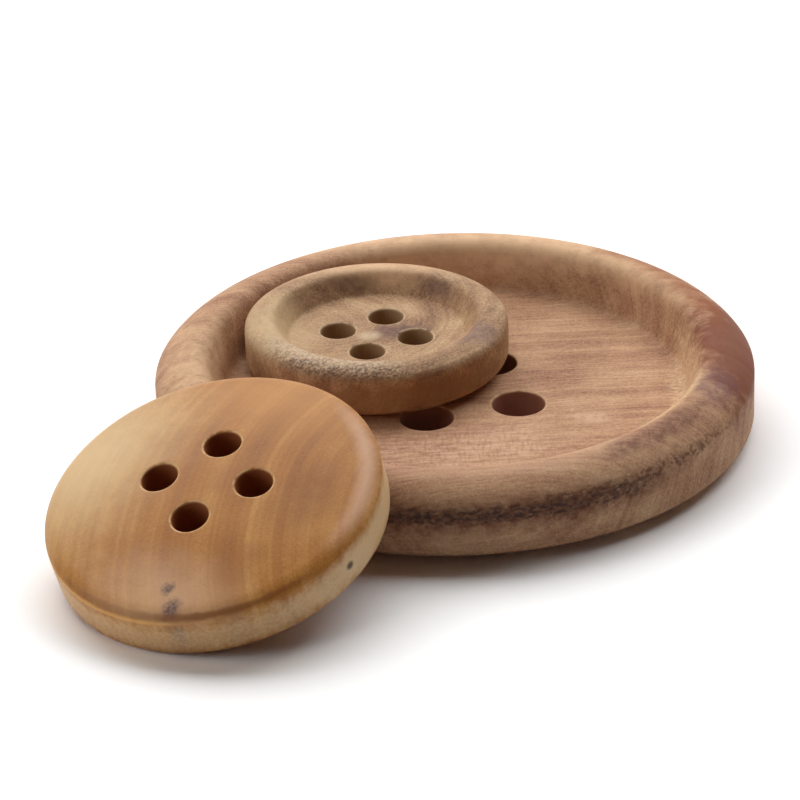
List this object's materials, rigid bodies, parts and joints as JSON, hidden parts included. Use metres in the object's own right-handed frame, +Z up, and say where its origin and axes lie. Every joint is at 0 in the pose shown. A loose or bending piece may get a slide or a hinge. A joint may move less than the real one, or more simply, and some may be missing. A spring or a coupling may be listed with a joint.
{
  "type": "set of wooden sewing buttons",
  "caption": "Round wooden sewing buttons with sewing holes: a small dished one lies in a large dished one, and a domed one leans on the large one's rounded rim.",
  "frame": {"origin": "centre of the large button's back, on the table", "axes": "+Z up along the large button's axis, out of its dish; +X to the viewer's right; +Y away from the viewer"},
  "size_m": [0.0591, 0.0654, 0.0124],
  "materials": {
    "reddish_wood": "waxed, with purple-grey figure",
    "grey_brown_wood": "waxed, greyed and speckled",
    "honey_wood": "smooth, waxed"
  },
  "bodies": {
    "root": {"large_button": "reddish_wood", "small_button": "grey_brown_wood", "domed_button": "honey_wood"}
  },
  "joints": []
}
